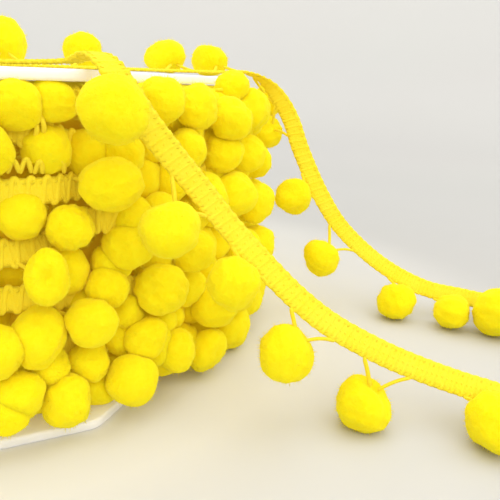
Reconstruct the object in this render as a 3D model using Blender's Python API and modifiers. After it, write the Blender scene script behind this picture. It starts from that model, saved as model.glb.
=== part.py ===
"""Pompom fringe trim wound on a flanged reel, with one loose length of the same trim laid over it.

The reel stands on its lower flange with its axis on Z and its foot at z = 0. The sub-parts are two
flange plates, square with cut corners, each with a spindle hole; the barrel tube between them; the
wound trim as one ring-shaped body whose outside is lumpy with pompoms; and the loose length: a narrow
braid that turns back on itself on the upper flange, with both ends hanging over the rim and down to
the floor, and its pompoms on their yarn loops. Sizes below are in millimetres, and MM turns them into
metres.
"""

import math
import random
from collections import namedtuple

import bmesh
import bpy
from mathutils import Vector

MM = 0.001
GAP = 0.3                      # between pieces that touch

# Reel
SIDE_REACH = 60.0              # from the axis to each of a flange's four long sides
CORNER_REACH = 70.0            # from the axis to each of its four cut corners
SIDE_AZIMUTH = -43.6           # that one long side faces
LONG_STEPS, SHORT_STEPS = 8, 4  # of the outline along a long side and along a cut corner
FLANGE_THICKNESS = 1.85
REEL_HEIGHT = 62.1
RIM_ROUNDING = 0.45
SPINDLE_RADIUS = 10.0
BARREL_RADIUS = 26.0
BARREL_WALL = 2.4
BARREL_SIDES = 48

# Wound trim
WINDING_BORE = BARREL_RADIUS + GAP
WINDING_FOOT = FLANGE_THICKNESS + GAP
WINDING_TOP = REEL_HEIGHT - FLANGE_THICKNESS - GAP
VALLEY_RADIUS = 66.6           # of the braid seen between the pompoms
RIM_CLEARANCE = 0.6            # from a flange's rim to what hangs over it
OVERHANG = 1.3                 # how far a pompom at a flange reaches along the rim
OVERHANG_RUN = 1.5             # of reach over which the overhang grows to its full size
LIP_STEP = 0.4                 # least step from the foot of the outside to its first row
SWELL = 1.2                    # how far a lump spreads, against its pompom's radius
ROUNDNESS = 2.4                # power that rounds a lump's shoulders
NEAR = 0.9                     # cosine of the turn past which a pompom no longer counts
COLUMNS = 150
ROWS = 19
HIDDEN_ROWS = 5
HIDDEN_COUNT = 34
HIDDEN_DIAMETERS = (9.0, 10.4)
HIDDEN_PROUD = (68.8, 72.6)    # range of the radius at a pompom's middle
AZIMUTH_STRAY = 2.2
HEIGHT_STRAY = 1.8
SEED = 7

# Braid and pompoms
BRAID_WIDTH = 5.2
BRAID_THICKNESS = 1.2
BRAID_STEP = 2.8               # between the braid's sections
FINE = 20                      # short chords between two stations of the route
NUDGE = 0.02                   # of a station, on each side, for the braid's direction
YARN = 0.9
LOOP_SPREAD = 8.5              # between the two feet of a pompom's yarn loop
LOOP_SHARES = (-0.12, 0.88)    # of the spread, from the braid's nearest section to each foot
FOOT_INSET = 0.7               # of a loop's foot from the braid's edge
KNEE_SAG = 0.5                 # of a loop's yarn away from the straight line
ROOT_DEPTH = 0.3               # of a yarn's end from a pompom's middle, against its width
SKEW = (0.31, 0.52, 0.79)      # any direction that no yarn follows
BALL_SEGMENTS = 10
BALL_RINGS = 8

# Colours and roughness
FLANGE_WHITE = ((0.86, 0.85, 0.84), 0.4)
BARREL_WHITE = ((0.84, 0.83, 0.82), 0.5)
WOUND_YELLOW = ((0.95, 0.83, 0.02), 0.9)
LOOSE_YELLOW = ((0.96, 0.85, 0.02), 0.9)

# Pompoms that stand out of the winding on its front. Azimuth from +X towards +Y.
Wound = namedtuple("Wound", "azimuth height diameter proud")
FRONT = [
    Wound(-84.4, 56.6, 7.6, 69.2), Wound(-79.7, 57.2, 6.8, 68.8), Wound(-88.6, 50.3, 8.6, 71.0),
    Wound(-74.1, 44.3, 10.0, 73.0), Wound(-78.9, 37.4, 7.4, 70.0), Wound(-84.6, 39.7, 7.8, 67.6),
    Wound(-70.0, 48.4, 8.4, 67.6), Wound(-68.4, 36.6, 8.4, 68.0), Wound(-82.8, 30.1, 8.4, 73.0),
    Wound(-77.1, 21.2, 8.8, 71.5), Wound(-73.4, 25.5, 7.2, 69.5), Wound(-69.4, 19.1, 7.4, 67.2),
    Wound(-71.9, 28.8, 7.4, 67.0), Wound(-65.2, 23.4, 10.2, 71.2), Wound(-84.0, 19.1, 9.6, 70.0),
    Wound(-86.9, 10.8, 9.0, 71.6), Wound(-88.9, 18.4, 8.8, 71.4), Wound(-88.8, 8.6, 8.0, 72.6),
    Wound(-80.7, 7.8, 9.2, 71.4), Wound(-71.3, 8.1, 9.7, 72.0), Wound(-68.0, 14.8, 8.2, 71.0),
    Wound(-63.6, 36.4, 9.4, 68.4), Wound(-57.8, 29.1, 9.0, 71.0), Wound(-70.1, 32.3, 8.6, 69.3),
    Wound(-51.9, 15.3, 10.4, 71.0), Wound(-44.0, 15.4, 10.2, 71.4), Wound(-61.7, 9.8, 8.6, 70.5),
    Wound(-53.7, 6.0, 9.2, 70.8), Wound(-65.0, 11.5, 8.0, 68.5), Wound(-42.0, 5.6, 9.4, 69.8),
    Wound(-34.0, 33.5, 9.4, 72.6), Wound(-31.6, 22.4, 9.8, 72.2), Wound(-39.9, 24.0, 9.4, 70.8),
    Wound(-45.7, 38.2, 10.0, 71.0), Wound(-46.8, 46.6, 8.8, 69.7), Wound(-58.7, 48.3, 8.0, 70.0),
    Wound(-56.9, 56.4, 8.2, 71.0), Wound(-47.6, 53.5, 9.6, 71.2), Wound(-63.8, 57.4, 7.6, 70.5),
    Wound(-39.0, 55.4, 9.0, 71.4), Wound(-37.6, 46.0, 9.2, 70.6), Wound(-52.0, 38.6, 9.2, 69.4),
    Wound(-30.6, 54.6, 9.2, 70.4), Wound(-28.4, 43.0, 9.4, 70.4), Wound(-25.0, 33.0, 9.2, 70.2),
    Wound(-22.0, 20.8, 9.4, 70.6), Wound(-33.0, 9.0, 9.4, 70.4), Wound(-22.6, 8.4, 9.4, 70.2),
    Wound(-21.4, 52.8, 9.0, 68.8), Wound(-18.4, 42.2, 9.0, 68.6), Wound(-14.6, 31.2, 9.2, 69.4),
    Wound(-12.2, 19.2, 9.4, 70.0), Wound(-12.8, 7.8, 9.4, 70.2), Wound(-12.0, 53.4, 9.0, 67.8),
    Wound(-8.2, 42.8, 9.0, 68.0), Wound(-41.3, 59.4, 7.4, 68.6), Wound(-80.8, 50.3, 7.6, 67.5),
    Wound(-82.6, 13.4, 7.6, 68.6), Wound(-76.2, 12.0, 7.6, 68.0),
]
FRONT_FROM, FRONT_TO = -93.0, -5.0

# Route of the loose braid, from the end on the floor in front, up over the rim, round on the upper
# flange, over the rim again and down to the end on the floor behind. The pompoms hang from the side
# that lies at out degrees in plan and dip degrees below level.
Station = namedtuple("Station", "x y z out dip")
ROUTE = [
    Station(105.0, -110.5, 0.95, 236, 0), Station(98.0, -106.0, 1.5, 236, 8),
    Station(91.5, -101.5, 3.7, 234, 30), Station(85.0, -96.6, 6.5, 232, 50),
    Station(77.5, -93.7, 9.1, 230, 57), Station(70.4, -90.8, 11.9, 228, 60),
    Station(63.2, -88.0, 15.3, 222, 58), Station(55.4, -84.2, 19.9, 215, 55),
    Station(49.6, -80.9, 24.9, 210, 50), Station(44.1, -77.9, 31.0, 205, 45),
    Station(39.0, -75.9, 37.0, 200, 40), Station(34.0, -75.2, 43.3, 195, 35),
    Station(28.8, -75.6, 49.4, 190, 30), Station(24.6, -75.9, 54.6, 186, 20),
    Station(21.8, -74.9, 59.4, 190, 10), Station(19.9, -72.2, 63.1, 196, 5),
    Station(18.6, -67.4, 64.5, 200, 0), Station(16.4, -62.0, 63.5, 208, 0),
    Station(10.0, -56.8, 63.15, 236, 0), Station(0.5, -52.8, 63.05, 245, 0),
    Station(-13.0, -48.6, 63.05, 250, 0), Station(-25.0, -44.5, 63.05, 244, 0),
    Station(-34.5, -38.0, 63.05, 218, 0), Station(-38.0, -30.5, 63.05, 178, 0),
    Station(-33.5, -24.8, 63.05, 122, 0), Station(-24.0, -23.4, 63.05, 96, 0),
    Station(-12.0, -24.6, 63.05, 88, 0), Station(4.0, -25.6, 63.05, 88, 0),
    Station(20.0, -26.2, 63.05, 90, 0), Station(36.0, -25.6, 63.05, 96, 0),
    Station(50.0, -22.6, 63.15, 106, 0), Station(60.5, -18.8, 63.3, 104, 0),
    Station(67.2, -16.9, 63.55, 90, 0), Station(72.2, -17.3, 61.7, 92, 12),
    Station(75.9, -19.9, 57.4, 124, 32), Station(78.6, -22.6, 51.6, 144, 26),
    Station(80.6, -25.6, 43.6, 155, 15), Station(84.8, -29.8, 32.4, 165, 25),
    Station(90.4, -33.6, 23.0, 182, 42), Station(100.2, -38.6, 13.7, 214, 58),
    Station(110.2, -45.0, 7.9, 228, 62), Station(118.5, -51.8, 6.4, 226, 60),
    Station(126.0, -58.0, 5.2, 226, 48), Station(132.6, -63.4, 3.2, 228, 22),
    Station(139.0, -68.2, 1.0, 230, 0),
]

# Pompoms of the loose braid, in the order of the route.
Pompom = namedtuple("Pompom", "x y z wide high")
POMPOMS = [
    Pompom(94.6, -112.4, 5.0, 10.0, 10.0), Pompom(79.4, -101.4, 5.15, 10.3, 10.3),
    Pompom(61.0, -87.2, 4.9, 10.2, 9.8), Pompom(47.5, -81.7, 14.9, 10.1, 10.1),
    Pompom(38.2, -79.4, 28.4, 9.0, 9.0), Pompom(26.6, -79.4, 38.6, 10.2, 9.4),
    Pompom(19.0, -78.2, 55.8, 10.6, 10.2), Pompom(-5.0, -62.0, 66.9, 9.4, 9.0),
    Pompom(-19.5, -55.5, 67.0, 9.6, 9.2), Pompom(-32.5, -47.2, 66.9, 9.4, 9.0),
    Pompom(-44.0, -36.0, 66.8, 9.2, 8.8), Pompom(-47.0, -23.6, 66.9, 9.4, 9.0),
    Pompom(-39.0, -14.4, 67.0, 9.6, 9.2), Pompom(-26.5, -13.8, 66.9, 9.4, 9.0),
    Pompom(-12.5, -15.6, 66.9, 9.4, 9.0), Pompom(8.8, -15.8, 67.8, 11.0, 10.8),
    Pompom(26.2, -15.6, 66.9, 9.3, 9.0), Pompom(46.6, -14.4, 66.4, 10.0, 8.0),
    Pompom(60.4, -9.2, 66.4, 9.6, 8.0), Pompom(77.4, -10.8, 56.4, 8.4, 8.4),
    Pompom(75.6, -14.0, 47.6, 9.2, 9.2), Pompom(77.8, -28.0, 32.0, 10.2, 9.4),
    Pompom(83.6, -34.4, 15.9, 9.8, 9.8), Pompom(101.6, -45.0, 4.9, 9.8, 9.8),
    Pompom(110.8, -56.0, 4.8, 9.6, 9.6), Pompom(118.4, -64.2, 6.4, 12.8, 12.8),
    Pompom(131.0, -73.8, 5.0, 10.0, 10.0),
]


def collection(name):
    made = bpy.data.collections.new(name)
    bpy.context.scene.collection.children.link(made)
    return made


def material(name, look):
    color, roughness = look
    made = bpy.data.materials.new(name)
    made.use_nodes = True
    shader = made.node_tree.nodes["Principled BSDF"]
    shader.inputs["Base Color"].default_value = (*color, 1.0)
    shader.inputs["Roughness"].default_value = roughness
    shader.inputs["Metallic"].default_value = 0.0
    made.diffuse_color = (*color, 1.0)
    return made


def place(name, mesh, group, look=None):
    """Put a mesh in the scene as a named object."""
    made = bpy.data.objects.new(name, mesh)
    group.objects.link(made)
    if look:
        mesh.materials.append(look)
    return made


def mesh_from(name, bm):
    """Turn a bmesh in millimetres into a mesh in metres."""
    bmesh.ops.recalc_face_normals(bm, faces=bm.faces)
    bmesh.ops.scale(bm, vec=(MM, MM, MM), verts=bm.verts)
    mesh = bpy.data.meshes.new(name)
    bm.to_mesh(mesh)
    bm.free()
    return mesh


def wrap(bm, rings):
    """Faces between rings of points that follow one another round, the last back to the first."""
    for here, there in zip(rings, rings[1:] + rings[:1]):
        count = len(here)
        for k in range(count):
            after = (k + 1) % count
            bm.faces.new((here[k], there[k], there[after], here[after]))


def turned(name, profile, sides, group, look):
    """A closed profile of (radius, height) turned round Z, running down its outer side."""
    bm = bmesh.new()
    points = [bm.verts.new((r * MM, 0.0, z * MM)) for r, z in profile]
    for first, second in zip(points, points[1:] + points[:1]):
        bm.edges.new((first, second))
    mesh = bpy.data.meshes.new(name)
    bm.to_mesh(mesh)
    bm.free()
    made = place(name, mesh, group, look)
    screw = made.modifiers.new("turn", "SCREW")
    screw.axis = "Z"
    screw.angle = math.tau
    screw.steps = sides
    screw.render_steps = sides
    screw.use_merge_vertices = True
    screw.merge_threshold = 0.00001
    screw.use_smooth_shade = False
    return made


def rim_reach(angle):
    """How far a flange reaches from the axis at one angle: a square whose corners are cut."""
    quarter = math.tau / 4
    turn = (angle - math.radians(SIDE_AZIMUTH)) % quarter
    to_side = min(turn, quarter - turn)
    return min(SIDE_REACH / math.cos(to_side), CORNER_REACH / math.cos(quarter / 2 - to_side))


def rim_angles():
    """Angles of the outline's points, the eight corners among them, once round."""
    quarter = math.tau / 4
    half_side = CORNER_REACH / math.sin(quarter / 2) - SIDE_REACH
    half_long = math.atan2(half_side, SIDE_REACH)
    angles = []
    for k in range(4):
        middle = math.radians(SIDE_AZIMUTH) + quarter * k
        for steps, start, run in (
            (LONG_STEPS, middle - half_long, 2 * half_long),
            (SHORT_STEPS, middle + half_long, quarter - 2 * half_long),
        ):
            angles += [start + run * n / steps for n in range(steps)]
    return angles


def flange(name, foot, group, look):
    """A thin plate with a spindle hole and softly broken rim edges."""
    top = foot + FLANGE_THICKNESS
    soft = RIM_ROUNDING
    bm = bmesh.new()
    rings = []
    for angle in rim_angles():
        outer = rim_reach(angle)
        profile = [
            (SPINDLE_RADIUS, foot), (outer - soft, foot), (outer, foot + soft),
            (outer, top - soft), (outer - soft, top), (SPINDLE_RADIUS, top),
        ]
        rings.append([
            bm.verts.new((r * math.cos(angle), r * math.sin(angle), z)) for r, z in profile
        ])
    wrap(bm, rings)
    return place(name, mesh_from(name, bm), group, look)


def barrel(group, look):
    """The tube that the trim is wound on, a hair short of each flange."""
    foot = FLANGE_THICKNESS + GAP
    top = REEL_HEIGHT - FLANGE_THICKNESS - GAP
    inner = BARREL_RADIUS - BARREL_WALL
    profile = [(inner, top), (BARREL_RADIUS, top), (BARREL_RADIUS, foot), (inner, foot)]
    return turned("reel_barrel", profile, BARREL_SIDES, group, look)


def hidden_pompoms():
    """Rows of pompoms round the rest of the winding, each row shifted by half a step."""
    chance = random.Random(SEED)
    step = 360.0 / HIDDEN_COUNT
    rise = (WINDING_TOP - WINDING_FOOT) / HIDDEN_ROWS
    made = []
    for row in range(HIDDEN_ROWS):
        for k in range(HIDDEN_COUNT):
            azimuth = (k + 0.5 * (row % 2)) * step + chance.uniform(-AZIMUTH_STRAY, AZIMUTH_STRAY)
            height = WINDING_FOOT + (row + 0.5) * rise + chance.uniform(-HEIGHT_STRAY, HEIGHT_STRAY)
            diameter = chance.uniform(*HIDDEN_DIAMETERS)
            proud = chance.uniform(*HIDDEN_PROUD)
            turned_to = (azimuth + 180.0) % 360.0 - 180.0
            if not FRONT_FROM < turned_to < FRONT_TO:
                made.append(Wound(turned_to, height, diameter, proud))
    return made


def lump_radius(angle, height, pompoms):
    """How far the winding reaches at one angle and height: the highest of the pompoms' swells."""
    reach = VALLEY_RADIUS
    for p in pompoms:
        turn = angle - math.radians(p.azimuth)
        if math.cos(turn) < NEAR:
            continue
        off = math.hypot(height - p.height, p.proud * math.sin(turn))
        part = off / (SWELL * p.diameter / 2)
        if part < 1.0:
            peak = p.proud + p.diameter / 2
            lump = (peak - VALLEY_RADIUS) * (1.0 - part ** ROUNDNESS)
            reach = max(reach, VALLEY_RADIUS + lump)
    return reach


def reaches(pompoms):
    """The winding's outer radius on a grid of angles, one list of heights upwards for each."""
    rise = (WINDING_TOP - WINDING_FOOT) / (ROWS - 1)
    return [
        [
            lump_radius(math.tau * column / COLUMNS, WINDING_FOOT + row * rise, pompoms)
            for row in range(ROWS)
        ]
        for column in range(COLUMNS)
    ]


def rim_near(column):
    """How far the flanges reach at most between a column's two neighbours, corners included."""
    step = math.tau / COLUMNS
    return max(rim_reach((column + n / 4) * step) for n in range(-4, 5))


def overhang(reach, column, row):
    """How far the outside runs along a rim: only where the neighbours stand clear of it too."""
    clear = rim_near(column) + 2 * RIM_CLEARANCE
    nearest = min(reach[(column + n) % COLUMNS][row] for n in (-1, 0, 1))
    return OVERHANG * min(max((nearest - clear) / OVERHANG_RUN, 0.0), 1.0)


def ring_section(reach, column):
    """The winding's section at one angle as (radius, height) points, up its outside and back."""
    outside = reach[column]
    step_over = rim_near(column) + RIM_CLEARANCE
    rise = (WINDING_TOP - WINDING_FOOT) / (ROWS - 1)
    lip, brow = overhang(reach, column, 0), overhang(reach, column, -1)
    section = [
        (WINDING_BORE, WINDING_FOOT), (min(step_over, outside[0] - LIP_STEP), WINDING_FOOT),
        (outside[0], WINDING_FOOT - lip),
    ]
    section += [(outside[row], WINDING_FOOT + row * rise) for row in range(1, ROWS - 1)]
    section += [
        (outside[-1], WINDING_TOP + brow), (min(step_over, outside[-1] - LIP_STEP), WINDING_TOP),
        (WINDING_BORE, WINDING_TOP),
    ]
    return section


def winding(group, look):
    """The wound trim: one ring whose section changes from angle to angle."""
    reach = reaches(FRONT + hidden_pompoms())
    bm = bmesh.new()
    rings = []
    for column in range(COLUMNS):
        angle = math.tau * column / COLUMNS
        rings.append([
            bm.verts.new((r * math.cos(angle), r * math.sin(angle), z))
            for r, z in ring_section(reach, column)
        ])
    wrap(bm, rings)
    return place("trim_winding", mesh_from("trim_winding", bm), group, look)


def smooth(values, t):
    """Catmull-Rom value at t, where whole numbers are the given values."""
    k = min(max(int(t), 0), len(values) - 2)
    u = t - k
    a, b, c, d = (values[min(max(k + j, 0), len(values) - 1)] for j in (-1, 0, 1, 2))
    return 0.5 * (
        2 * b + (c - a) * u + (2 * a - 5 * b + 4 * c - d) * u * u + (3 * b - a - 3 * c + d) * u ** 3
    )


def braid_frames():
    """Evenly spaced (spot, fringe side, face) along the loose braid's route."""
    places = [Vector((s.x, s.y, s.z)) for s in ROUTE]
    sides = []
    for s in ROUTE:
        out, dip = math.radians(s.out), math.radians(s.dip)
        sides.append(Vector((
            math.cos(dip) * math.cos(out), math.cos(dip) * math.sin(out), -math.sin(dip)
        )))
    fine = [smooth(places, k / FINE) for k in range(FINE * (len(ROUTE) - 1) + 1)]
    along = [0.0]
    for first, second in zip(fine, fine[1:]):
        along.append(along[-1] + (second - first).length)
    count = round(along[-1] / BRAID_STEP)
    frames = []
    k = 0
    for n in range(count + 1):
        goal = along[-1] * n / count
        while k < len(along) - 2 and along[k + 1] < goal:
            k += 1
        t = (k + (goal - along[k]) / (along[k + 1] - along[k])) / FINE
        ahead = smooth(places, min(t + NUDGE, len(ROUTE) - 1)) - smooth(places, max(t - NUDGE, 0))
        ahead.normalize()
        side = smooth(sides, t)
        side = (side - ahead * side.dot(ahead)).normalized()
        frames.append((smooth(places, t), side, ahead.cross(side)))
    return frames, along[-1]


def loft(bm, sections):
    """A closed body through sections with the same number of corners."""
    rings = [[bm.verts.new(corner) for corner in section] for section in sections]
    for here, there in zip(rings, rings[1:]):
        count = len(here)
        for k in range(count):
            after = (k + 1) % count
            bm.faces.new((here[k], there[k], there[after], here[after]))
    bm.faces.new(rings[0])
    bm.faces.new(rings[-1][::-1])


def braid(group, look):
    """The flat braid of the loose length."""
    frames, _ = braid_frames()
    half, thin = BRAID_WIDTH / 2, BRAID_THICKNESS / 2
    bm = bmesh.new()
    loft(bm, [
        [
            spot + side * half + face * thin, spot - side * half + face * thin,
            spot - side * half - face * thin, spot + side * half - face * thin,
        ]
        for spot, side, face in frames
    ])
    return place("trim_loose", mesh_from("trim_loose", bm), group, look)


def strand(bm, start, knee, end):
    """One yarn of four sides through three points."""
    points = [start, knee, end]
    sections = []
    for k, point in enumerate(points):
        ahead = (points[min(k + 1, 2)] - points[max(k - 1, 0)]).normalized()
        across = ahead.cross(Vector(SKEW)).normalized() * YARN / 2
        other = ahead.cross(across).normalized() * YARN / 2
        sections.append([point + across, point + other, point - across, point - other])
    loft(bm, sections)


def ball(bm, pompom):
    """A pompom as a round body, wide across and high."""
    made = bmesh.ops.create_uvsphere(
        bm, u_segments=BALL_SEGMENTS, v_segments=BALL_RINGS, radius=pompom.wide / 2
    )["verts"]
    for vert in made:
        vert.co.z *= pompom.high / pompom.wide
        vert.co += Vector((pompom.x, pompom.y, pompom.z))


def drops(group):
    """All the pompoms of the loose length with the yarn loops that they hang on."""
    frames, length = braid_frames()
    spacing = length / (len(frames) - 1)
    spread = round(LOOP_SPREAD / spacing)
    last = len(frames) - 2
    edges = [spot + side * (BRAID_WIDTH / 2 - FOOT_INSET) for spot, side, _ in frames]
    bm = bmesh.new()
    for pompom in POMPOMS:
        middle = Vector((pompom.x, pompom.y, pompom.z))
        near = min(range(len(edges)), key=lambda k: (edges[k] - middle).length)
        way = -1 if near < len(frames) / 2 else 1
        for share in LOOP_SHARES:
            foot = min(max(near + way * round(share * spread), 1), last)
            start = edges[foot]
            inward = (start - middle).normalized()
            end = middle + Vector((
                inward.x * pompom.wide, inward.y * pompom.wide, inward.z * pompom.high
            )) * ROOT_DEPTH
            knee = (start + end) / 2 + frames[foot][1] * KNEE_SAG
            strand(bm, start, knee, end)
        ball(bm, pompom)
    made = place("loose_pompoms", mesh_from("loose_pompoms", bm), group)
    made.hide_render = True
    made.display_type = "WIRE"
    return made


def loose_length(group, cutters, look):
    """The loose trim: braid, yarn loops and pompoms as one body."""
    made = braid(group, look)
    union = made.modifiers.new("pompoms", "BOOLEAN")
    union.operation = "UNION"
    union.solver = "EXACT"
    union.use_self = True
    union.object = drops(cutters)
    return made


def main():
    for old in list(bpy.data.objects):
        bpy.data.objects.remove(old, do_unlink=True)
    parts = collection("pompom_trim_reel")
    cutters = collection("cutters")
    white = material("reel_white", FLANGE_WHITE)
    core = material("barrel_white", BARREL_WHITE)
    wound = material("wound_yarn", WOUND_YELLOW)
    loose = material("loose_yarn", LOOSE_YELLOW)
    flange("reel_flange_bottom", 0.0, parts, white)
    flange("reel_flange_top", REEL_HEIGHT - FLANGE_THICKNESS, parts, white)
    barrel(parts, core)
    winding(parts, wound)
    loose_length(parts, cutters, loose)


main()
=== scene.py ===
"""Looks of a pompom fringe trim wound on a white reel, with one loose length laid over it.

The reel stands on its lower flange with its axis on Z. Sizes in the tables are in millimetres and
angles in degrees; meshes are written in metres. The trim is made as a maker would knit it: one weft
yarn that zigzags across the braid, chain yarns that bind it lengthwise, and pompoms of clipped pile
that hang from one edge on loops of yarn.
"""

import bpy
import numpy as np
from mathutils import Matrix


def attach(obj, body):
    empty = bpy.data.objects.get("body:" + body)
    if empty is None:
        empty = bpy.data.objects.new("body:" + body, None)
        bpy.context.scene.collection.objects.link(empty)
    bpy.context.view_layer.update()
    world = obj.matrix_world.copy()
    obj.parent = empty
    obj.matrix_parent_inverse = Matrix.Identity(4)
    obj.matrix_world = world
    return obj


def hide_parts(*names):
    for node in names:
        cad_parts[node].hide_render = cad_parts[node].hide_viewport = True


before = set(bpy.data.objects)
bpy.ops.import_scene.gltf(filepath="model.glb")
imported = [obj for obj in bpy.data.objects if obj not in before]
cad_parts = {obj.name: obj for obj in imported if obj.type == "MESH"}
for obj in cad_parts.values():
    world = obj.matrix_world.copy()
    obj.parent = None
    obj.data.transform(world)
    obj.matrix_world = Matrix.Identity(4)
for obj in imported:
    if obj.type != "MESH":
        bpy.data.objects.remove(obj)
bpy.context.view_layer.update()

bl_info = {
    "name": "Pompom Trim Reel",
    "version": (1, 0, 0),
    "blender": (4, 5, 0),
    "location": "View3D > Sidebar > Trim",
    "description": "Builds a reel of pompom fringe trim with a loose length over it",
    "category": "Add Mesh",
}

MM = 0.001
BODY = "root"

# Route of the loose braid, one row for each place: x, y, z, and the side that its pompoms hang
# from as an angle in plan and a dip below level. Its two tails part at the turn on the flange.
ROUTE = np.array([
    (105.0, -110.5, 0.95, 236, 0), (98.0, -106.0, 1.5, 236, 8), (91.5, -101.5, 3.7, 234, 30),
    (85.0, -96.6, 6.5, 232, 50), (77.5, -93.7, 9.1, 230, 57), (70.4, -90.8, 11.9, 228, 60),
    (63.2, -88.0, 15.3, 222, 58), (55.4, -84.2, 19.9, 215, 55), (49.6, -80.9, 24.9, 210, 50),
    (44.1, -77.9, 31.0, 205, 45), (39.0, -75.9, 37.0, 200, 40), (34.0, -75.2, 43.3, 195, 35),
    (28.8, -75.6, 49.4, 190, 30), (24.6, -75.9, 54.6, 186, 20), (21.8, -74.9, 59.4, 190, 10),
    (19.9, -72.2, 63.1, 196, 5), (18.6, -67.4, 64.5, 200, 0), (16.4, -62.0, 63.5, 208, 0),
    (10.0, -56.8, 63.15, 236, 0), (0.5, -52.8, 63.05, 245, 0), (-13.0, -48.6, 63.05, 250, 0),
    (-25.0, -44.5, 63.05, 244, 0), (-34.5, -38.0, 63.05, 218, 0), (-38.0, -30.5, 63.05, 178, 0),
    (-33.5, -24.8, 63.05, 122, 0), (-24.0, -23.4, 63.05, 96, 0), (-12.0, -24.6, 63.05, 88, 0),
    (4.0, -25.6, 63.05, 88, 0), (20.0, -26.2, 63.05, 90, 0), (36.0, -25.6, 63.05, 96, 0),
    (50.0, -22.6, 63.15, 106, 0), (60.5, -18.8, 63.3, 104, 0), (67.2, -16.9, 63.55, 90, 0),
    (72.2, -17.3, 61.7, 92, 12), (75.9, -19.9, 57.4, 124, 32), (78.6, -22.6, 51.6, 144, 26),
    (80.6, -25.6, 43.6, 155, 15), (84.8, -29.8, 32.4, 165, 25), (90.4, -33.6, 23.0, 182, 42),
    (100.2, -38.6, 13.7, 214, 58), (110.2, -45.0, 7.9, 228, 62), (118.5, -51.8, 6.4, 226, 60),
    (126.0, -58.0, 5.2, 226, 48), (132.6, -63.4, 3.2, 228, 22), (139.0, -68.2, 1.0, 230, 0),
])
TURN_STATION = 23

# Pompoms of the loose braid along the route: x, y, z, width, height.
LOOSE_POMPOMS = np.array([
    (94.6, -112.4, 5.0, 10.0, 10.0), (79.4, -101.4, 5.15, 10.3, 10.3),
    (61.0, -87.2, 4.9, 10.2, 9.8), (47.5, -81.7, 14.9, 10.1, 10.1),
    (38.2, -79.4, 28.4, 9.0, 9.0), (26.6, -79.4, 38.6, 10.2, 9.4),
    (19.0, -78.2, 55.8, 10.6, 10.2), (-5.0, -62.0, 66.9, 9.4, 9.0),
    (-19.5, -55.5, 67.0, 9.6, 9.2), (-32.5, -47.2, 66.9, 9.4, 9.0),
    (-44.0, -36.0, 66.8, 9.2, 8.8), (-47.0, -23.6, 66.9, 9.4, 9.0),
    (-39.0, -14.4, 67.0, 9.6, 9.2), (-26.5, -13.8, 66.9, 9.4, 9.0),
    (-12.5, -15.6, 66.9, 9.4, 9.0), (8.8, -15.8, 67.8, 11.0, 10.8),
    (26.2, -15.6, 66.9, 9.3, 9.0), (46.6, -14.4, 66.4, 10.0, 8.0),
    (60.4, -9.2, 66.4, 9.6, 8.0), (77.4, -10.8, 56.4, 8.4, 8.4),
    (75.6, -14.0, 47.6, 9.2, 9.2), (77.8, -28.0, 32.0, 10.2, 9.4),
    (83.6, -34.4, 15.9, 9.8, 9.8), (101.6, -45.0, 4.9, 9.8, 9.8),
    (110.8, -56.0, 4.8, 9.6, 9.6), (118.4, -64.2, 6.4, 12.8, 12.8),
    (131.0, -73.8, 5.0, 10.0, 10.0),
])
FRONT_TAIL_POMPOMS = 11
NOTCHED_AT = 61.0              # x of the pompom that its yarn notches deeply

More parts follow.
